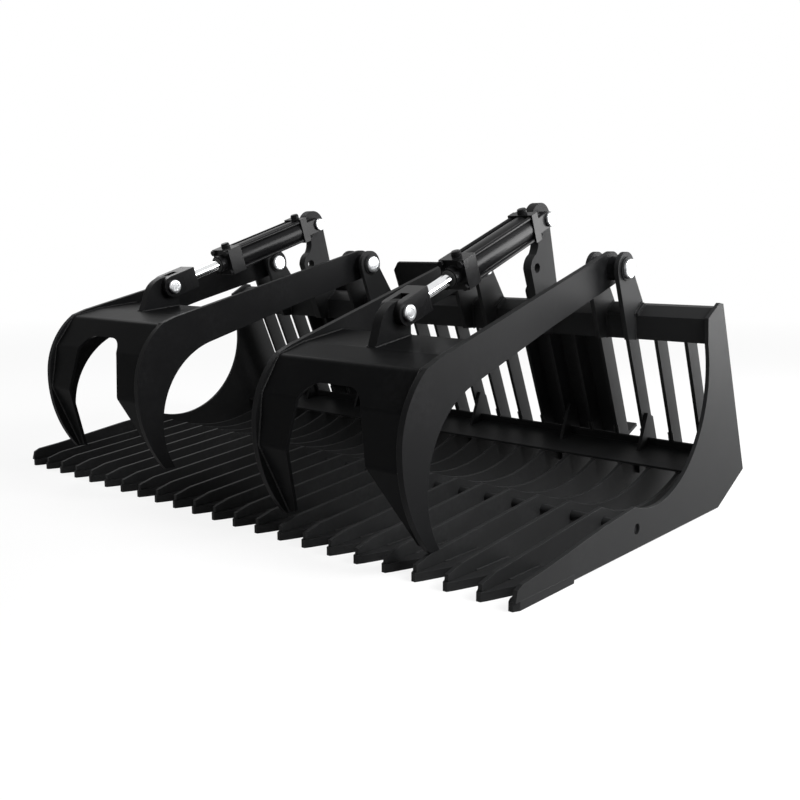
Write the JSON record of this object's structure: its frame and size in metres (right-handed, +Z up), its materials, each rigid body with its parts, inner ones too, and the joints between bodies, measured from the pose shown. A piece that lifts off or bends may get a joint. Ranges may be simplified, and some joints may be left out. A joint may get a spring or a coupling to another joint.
{
  "type": "grapple bucket",
  "caption": "Wide skeleton rock bucket of steel ribs with two hydraulic grapple claws hinged on its top rail, for a skid-steer loader.",
  "frame": {"origin": "on the ground, under the middle of the part's footprint", "axes": "+X across to the right seen from the cutting edge, +Y to the loader, +Z up"},
  "size_m": [1.8256, 1.1782, 0.792],
  "materials": {
    "paint": "semi-gloss black",
    "chrome": "polished",
    "zinc": "zinc plated"
  },
  "bodies": {
    "bucket": {"side_plate_left": "paint", "side_plate_right": "paint", "tine_01": "paint", "tine_02": "paint", "tine_03": "paint", "tine_04": "paint", "tine_05": "paint", "tine_06": "paint", "tine_07": "paint", "tine_08": "paint", "tine_09": "paint", "tine_10": "paint", "tine_11": "paint", "tine_12": "paint", "tine_13": "paint", "tine_14": "paint", "tine_15": "paint", "tine_16": "paint", "tine_17": "paint", "tine_18": "paint", "tine_19": "paint", "tine_20": "paint", "tine_21": "paint", "cutting_edge": "paint", "uprights": "paint", "top_rail": "paint", "cross_rod": "paint", "gussets": "paint", "heel_strip": "paint", "ears": "paint", "hinge_pins": "zinc", "bracket_left": "paint", "bracket_right": "paint", "base_pins": "zinc", "mount_plate_left": "paint", "mount_plate_right": "paint", "centre_plate": "paint", "rail_bars": "paint"},
    "grapple_left": {"arm_left_outer": "paint", "arm_left_inner": "paint", "hubs_left": "paint", "sheet_left": "paint", "lug_left": "paint"},
    "cylinder_left": {"barrel_left": "paint", "caps_left": "paint", "tie_rods_left": "paint"},
    "rod_body_left": {"rod_left": "chrome", "rod_clevis_left": "paint", "rod_pin_left": "zinc"},
    "grapple_right": {"arm_right_outer": "paint", "arm_right_inner": "paint", "hubs_right": "paint", "sheet_right": "paint", "lug_right": "paint"},
    "cylinder_right": {"barrel_right": "paint", "caps_right": "paint", "tie_rods_right": "paint"},
    "rod_body_right": {"rod_right": "chrome", "rod_clevis_right": "paint", "rod_pin_right": "zinc"}
  },
  "joints": [
    {"name": "grapple_left_hinge", "type": "hinge", "parent": "bucket", "child": "grapple_left", "pos_m": [-0.44, 0.24105, 0.622], "axis": [-1, 0, 0], "range_deg": [-3.5, 41.5]},
    {"name": "cylinder_left_swing", "type": "hinge", "parent": "bucket", "child": "cylinder_left", "pos_m": [-0.44, 0.23905, 0.748], "axis": [-1, 0, 0], "range_deg": [-3.8, 41.8]},
    {"name": "rod_left_slide", "type": "slide", "parent": "cylinder_left", "child": "rod_body_left", "axis": [0, -0.9514, -0.308], "range_m": [-0.0898, 0.008]},
    {"name": "grapple_right_hinge", "type": "hinge", "parent": "bucket", "child": "grapple_right", "pos_m": [0.44, 0.24105, 0.622], "axis": [-1, 0, 0], "range_deg": [0, 45]},
    {"name": "cylinder_right_swing", "type": "hinge", "parent": "bucket", "child": "cylinder_right", "pos_m": [0.44, 0.23905, 0.748], "axis": [-1, 0, 0], "range_deg": [0, 44.9]},
    {"name": "rod_right_slide", "type": "slide", "parent": "cylinder_right", "child": "rod_body_right", "axis": [0, -0.9323, -0.3616], "range_m": [-0.097, 0]}
  ],
  "couplings": [
    {"joint": "cylinder_left_swing", "follows": "grapple_left_hinge", "ratio": 1.0005},
    {"joint": "rod_left_slide", "follows": "grapple_left_hinge", "m_per_rad": -0.12335},
    {"joint": "cylinder_right_swing", "follows": "grapple_right_hinge", "ratio": 0.99302},
    {"joint": "rod_right_slide", "follows": "grapple_right_hinge", "m_per_rad": -0.12285}
  ]
}
